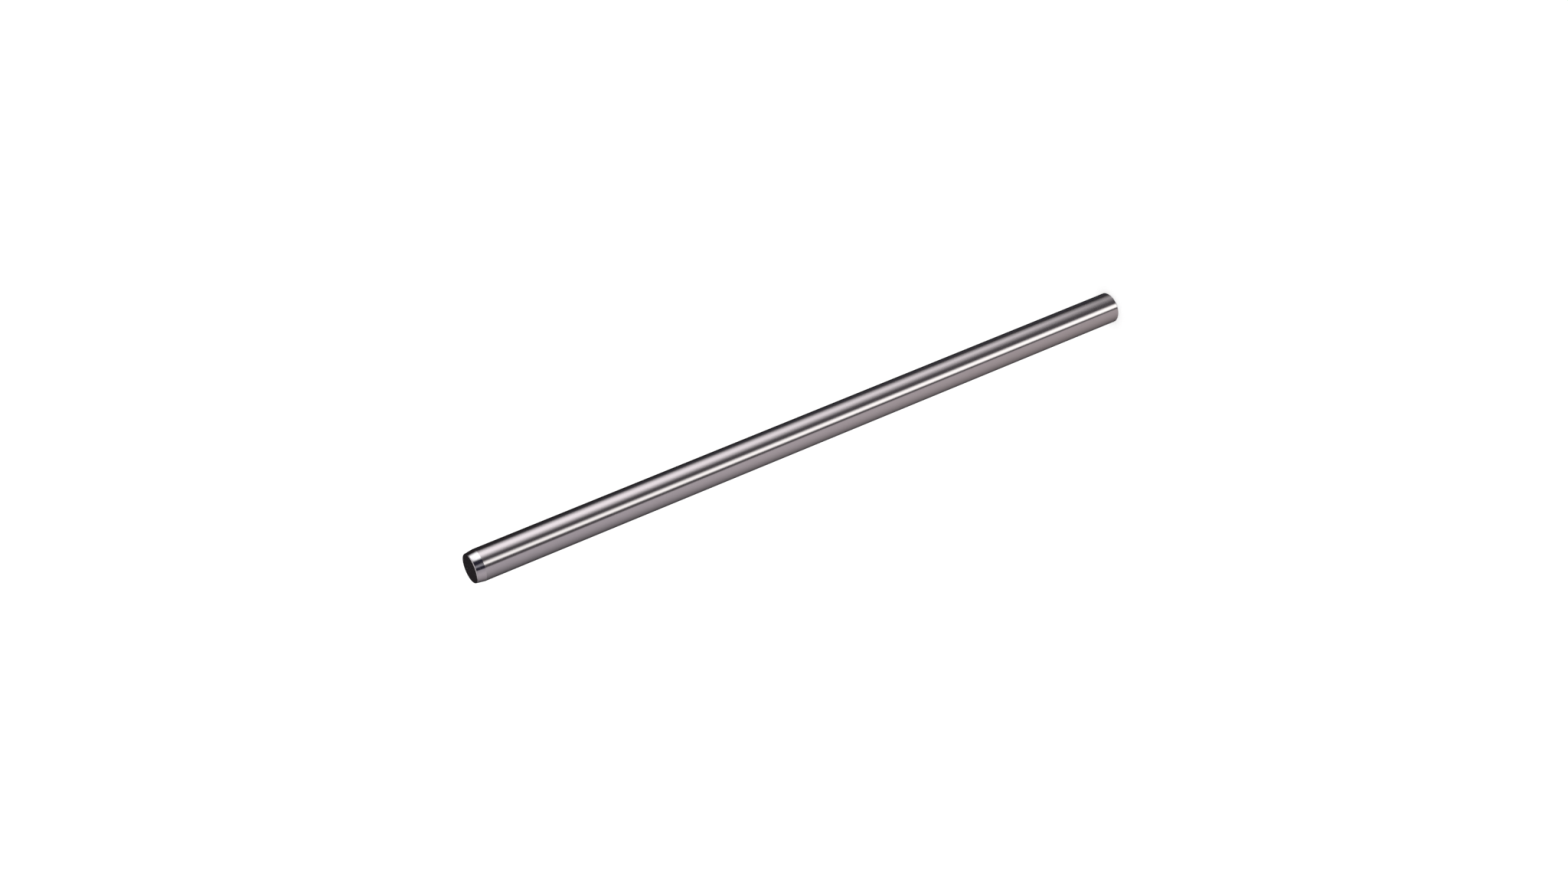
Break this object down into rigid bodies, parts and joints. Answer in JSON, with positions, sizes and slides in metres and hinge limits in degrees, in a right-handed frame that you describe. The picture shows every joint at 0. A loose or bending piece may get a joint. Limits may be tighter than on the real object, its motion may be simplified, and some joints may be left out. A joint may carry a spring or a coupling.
{
  "type": "optical post",
  "caption": "Plain round ground-steel post with a tapered nose and a tapped hole in its base, which carries clamps and holders on an optical table.",
  "frame": {"origin": "centre of the base face, on which the post stands", "axes": "+Z along the post's axis, from the base up to the tapered nose; the post is round, so +X and +Y are free"},
  "size_m": [0.0126, 0.0126, 0.3],
  "materials": {
    "steel": "centreless ground, fine circumferential marks"
  },
  "bodies": {
    "root": {"post": "steel"}
  },
  "joints": []
}
